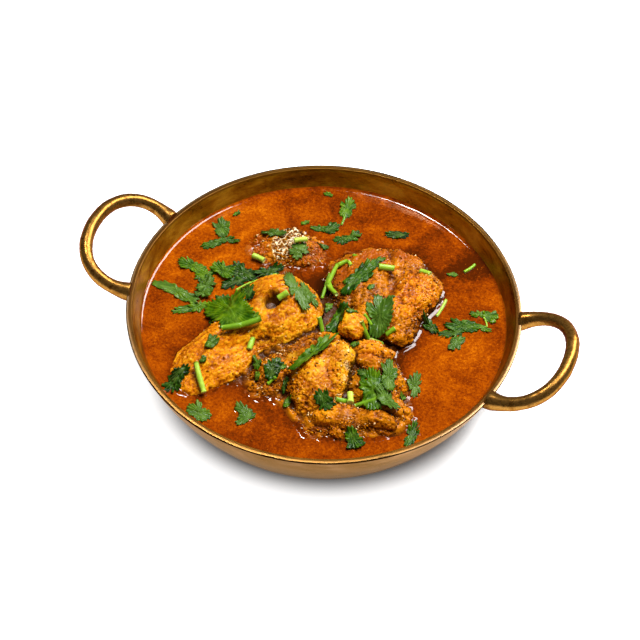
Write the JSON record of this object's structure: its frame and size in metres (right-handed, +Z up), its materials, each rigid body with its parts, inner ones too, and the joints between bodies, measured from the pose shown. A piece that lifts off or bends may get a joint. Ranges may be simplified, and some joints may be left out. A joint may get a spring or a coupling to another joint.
{
  "type": "chicken curry in a two-handled bowl",
  "caption": "Chicken pieces in an orange gravy with chopped coriander, served in a round bronze bowl with two loop handles.",
  "frame": {"origin": "middle of the bowl's flat foot, on the table", "axes": "+X through the two handles, +Z up"},
  "size_m": [0.2608, 0.1996, 0.0639],
  "materials": {
    "bronze": "satin, brushed round, browned inside",
    "brass": "polished, a little pitted",
    "gravy": "wet, oily and finely speckled",
    "golden_chicken": "moist, fibrous",
    "masala_chicken": "wet, grainy coating",
    "leaf": "waxy leaf",
    "stem": "moist"
  },
  "bodies": {
    "root": {"bowl": "bronze", "handle_right": "brass", "handle_left": "brass", "gravy": "gravy", "chicken_cube": "golden_chicken", "chicken_breast": "golden_chicken", "chicken_front": "golden_chicken", "chicken_thigh": "masala_chicken", "chicken_right": "masala_chicken", "chicken_middle": "masala_chicken", "chicken_lower": "masala_chicken", "chicken_sunken": "masala_chicken", "leaf_01": "leaf", "leaf_02": "leaf", "leaf_03": "leaf", "leaf_04": "leaf", "leaf_05": "leaf", "leaf_06": "leaf", "leaf_07": "leaf", "leaf_08": "leaf", "leaf_09": "leaf", "leaf_10": "leaf", "leaf_11": "leaf", "leaf_12": "leaf", "leaf_13": "leaf", "leaf_14": "leaf", "leaf_15": "leaf", "leaf_16": "leaf", "leaf_17": "leaf", "leaf_18": "leaf", "leaf_19": "leaf", "leaf_20": "leaf", "leaf_21": "leaf", "leaf_22": "leaf", "leaf_23": "leaf", "leaf_24": "leaf", "leaf_25": "leaf", "leaf_26": "leaf", "leaf_27": "leaf", "leaf_28": "leaf", "leaf_29": "leaf", "leaf_30": "leaf", "leaf_31": "leaf", "leaf_32": "leaf", "leaf_33": "leaf", "leaf_34": "leaf", "leaf_35": "leaf", "leaf_36": "leaf", "leaf_37": "leaf", "stem_01": "stem", "stem_02": "stem", "stem_03": "stem", "stem_04": "stem", "stem_05": "stem", "stem_06": "stem", "stem_07": "stem", "stem_08": "stem", "stem_09": "stem", "stem_10": "stem"}
  },
  "joints": []
}
